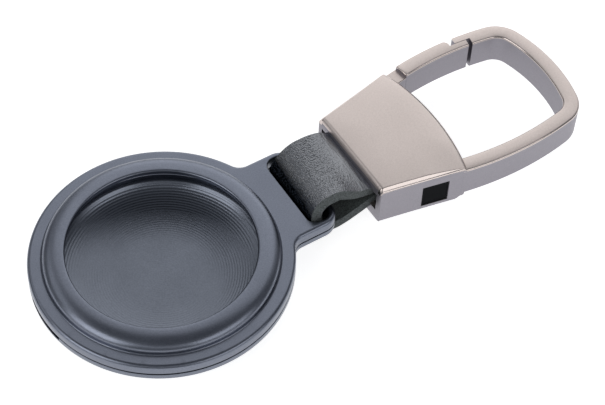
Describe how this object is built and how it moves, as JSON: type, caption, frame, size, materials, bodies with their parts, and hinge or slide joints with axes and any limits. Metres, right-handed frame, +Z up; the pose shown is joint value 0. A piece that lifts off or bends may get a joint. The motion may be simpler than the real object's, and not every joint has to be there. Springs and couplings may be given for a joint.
{
  "type": "tracker tag holder",
  "caption": "Key holder for a coin-shaped tracker: a round shell in two turned halves hangs on a leather loop from a cast clasp with a sprung gate.",
  "frame": {"origin": "centre of the dish's flat bottom, on the axis of the round shells", "axes": "+X from the shells towards the clasp and its hook, +Z up through the open front shell, +Y on the gate's side"},
  "size_m": [0.0929, 0.04, 0.0088],
  "materials": {
    "front_anodised": "satin, dark blue-grey anodised",
    "back_anodised": "satin, dark blue-grey anodised, turning marks on the dish's floor",
    "ring_rubber": "matt",
    "loop_leather": "pebbled, semi-matt, with raw cut edges",
    "bare_steel": "ground",
    "clasp_satin": "satin gunmetal plating on a casting",
    "plug_plastic": "matt",
    "spring_steel": "drawn wire"
  },
  "bodies": {
    "clasp": {"clasp_body": "clasp_satin", "window_plug": "plug_plastic", "strap_bar": "bare_steel", "gate_pin": "bare_steel", "gate_spring": "spring_steel", "leather_loop": "loop_leather"},
    "gate_body": {"gate": "clasp_satin"},
    "back_half": {"back_shell": "back_anodised", "grip_ring": "ring_rubber"},
    "front_half": {"front_shell": "front_anodised"}
  },
  "joints": [
    {"name": "gate_hinge", "type": "hinge", "parent": "clasp", "child": "gate_body", "pos_m": [0.04627, 0.00952, 0.00477], "axis": [0, 0, 1], "range_deg": [-30, 0], "stiffness_Nm_per_rad": 0.03, "springref_deg": 20.05, "deforming": ["gate_spring"]},
    {"name": "holder_swing", "type": "hinge", "parent": "clasp", "child": "back_half", "pos_m": [0.0266, 0, 0.00477], "axis": [0, 1, 0], "range_deg": [-100, 60]},
    {"name": "shell_opening", "type": "hinge", "parent": "back_half", "child": "front_half", "pos_m": [0.0268, 0, 0.00405], "axis": [0, 1, 0], "range_deg": [0, 30]}
  ]
}
